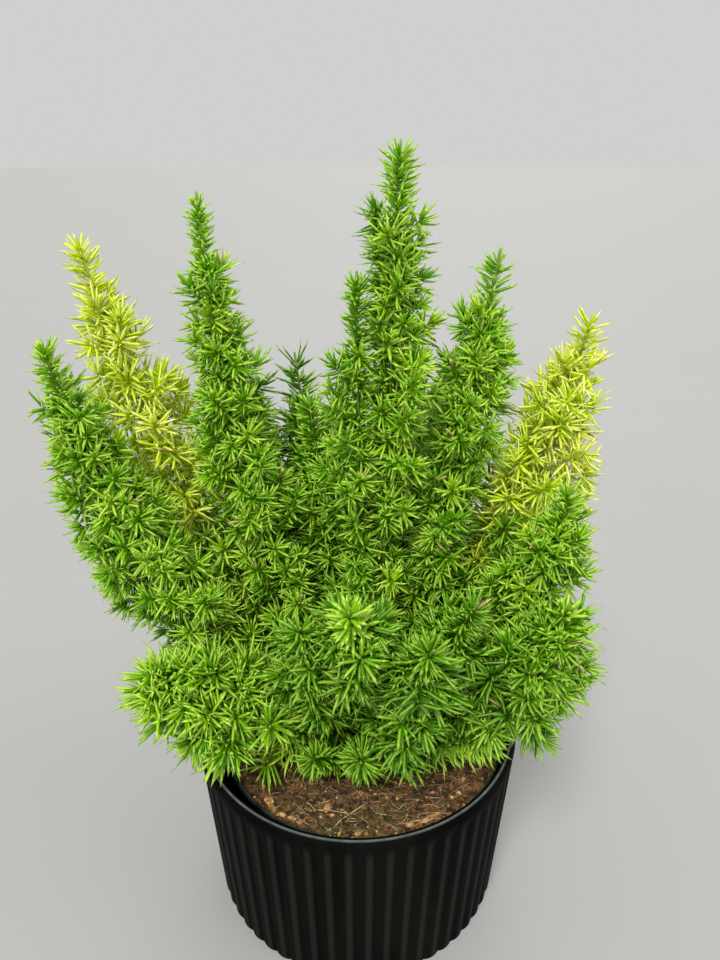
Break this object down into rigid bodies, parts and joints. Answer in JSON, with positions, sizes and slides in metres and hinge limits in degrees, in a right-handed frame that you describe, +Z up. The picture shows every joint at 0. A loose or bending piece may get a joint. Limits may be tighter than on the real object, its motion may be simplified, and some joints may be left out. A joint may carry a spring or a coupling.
{
  "type": "potted foxtail asparagus fern",
  "caption": "Potted plant: upright bottle-brush fronds of fine needles rise from one crown, in a thin nursery pot set inside a fluted round planter.",
  "frame": {"origin": "centre of the planter's flat underside", "axes": "+Z up, -Y towards the front of the plant as pictured, +X to its right"},
  "size_m": [0.2571, 0.1907, 0.403],
  "materials": {
    "planter_plastic": "matt black moulded plastic",
    "nursery_plastic": "thin black blow-moulded plastic, slightly shiny",
    "potting_mix": "coir and bark chips, rough",
    "stem": "smooth green stem",
    "foliage_green": "glossy fine needles, fresh green",
    "foliage_lime": "glossy fine needles, lime yellow above and green below"
  },
  "bodies": {
    "root": {"planter": "planter_plastic", "nursery_pot": "nursery_plastic", "soil": "potting_mix", "stem_tall_centre": "stem", "plume_tall_centre": "foliage_green", "stem_centre_side": "stem", "plume_centre_side": "foliage_green", "stem_tall_left": "stem", "plume_tall_left": "foliage_green", "stem_lime_left": "stem", "plume_lime_left": "foliage_lime", "stem_far_left": "stem", "plume_far_left": "foliage_green", "stem_inner_left": "stem", "plume_inner_left": "foliage_green", "stem_small_rear": "stem", "plume_small_rear": "foliage_green", "stem_tall_right": "stem", "plume_tall_right": "foliage_green", "stem_lime_right": "stem", "plume_lime_right": "foliage_lime", "stem_right_side": "stem", "plume_right_side": "foliage_green", "stem_low_right": "stem", "plume_low_right": "foliage_green", "stem_low_left": "stem", "plume_low_left": "foliage_green", "stem_front_centre": "stem", "plume_front_centre": "foliage_green", "stem_front_right": "stem", "plume_front_right": "foliage_green", "stem_front_left": "stem", "plume_front_left": "foliage_green", "stem_inner_right": "stem", "plume_inner_right": "foliage_green", "stem_foot_centre": "stem", "plume_foot_centre": "foliage_green", "stem_foot_left": "stem", "plume_foot_left": "foliage_green", "stem_foot_right": "stem", "plume_foot_right": "foliage_green", "stem_back_left": "stem", "plume_back_left": "foliage_green", "stem_back_centre": "stem", "plume_back_centre": "foliage_green", "stem_back_right": "stem", "plume_back_right": "foliage_green", "stem_right_rear": "stem", "plume_right_rear": "foliage_green", "stem_left_rear": "stem", "plume_left_rear": "foliage_green", "stem_low_back_left": "stem", "plume_low_back_left": "foliage_green", "stem_low_back_right": "stem", "plume_low_back_right": "foliage_green", "stem_low_left_side": "stem", "plume_low_left_side": "foliage_green", "stem_low_right_side": "stem", "plume_low_right_side": "foliage_green"}
  },
  "joints": []
}
